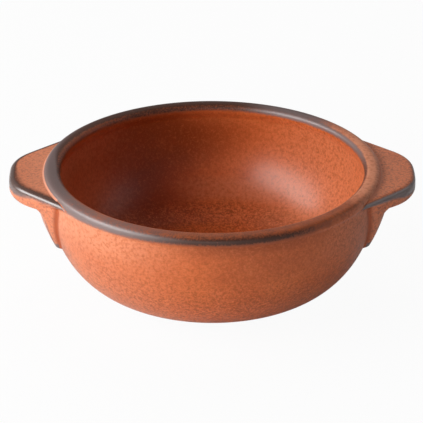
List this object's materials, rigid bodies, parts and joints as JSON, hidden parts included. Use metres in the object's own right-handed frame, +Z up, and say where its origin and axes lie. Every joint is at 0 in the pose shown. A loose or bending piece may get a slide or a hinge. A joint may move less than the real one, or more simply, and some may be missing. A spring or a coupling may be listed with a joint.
{
  "type": "lug-handled clay pot",
  "caption": "Open round stoneware cooking pot with a rounded rim bead, a foot ring and a flat lug handle luted to the wall on either side.",
  "frame": {"origin": "centre of the foot ring's underside, on the surface the pot stands on", "axes": "+Z up along the pot's axis, +X towards the right lug's tip, +Y away from the viewer"},
  "size_m": [0.2048, 0.17, 0.066],
  "materials": {
    "bowl_glaze": "semi-matte speckled terracotta glaze that breaks to grey-brown on edges",
    "lug_glaze": "semi-matte speckled terracotta glaze that breaks to grey-brown on edges",
    "fired_slip": "matte fired clay, glazed over where it shows"
  },
  "bodies": {
    "root": {"bowl_body": "bowl_glaze", "handle_left": "lug_glaze", "handle_right": "lug_glaze", "luting_slip_left": "fired_slip", "luting_slip_right": "fired_slip"}
  },
  "joints": []
}
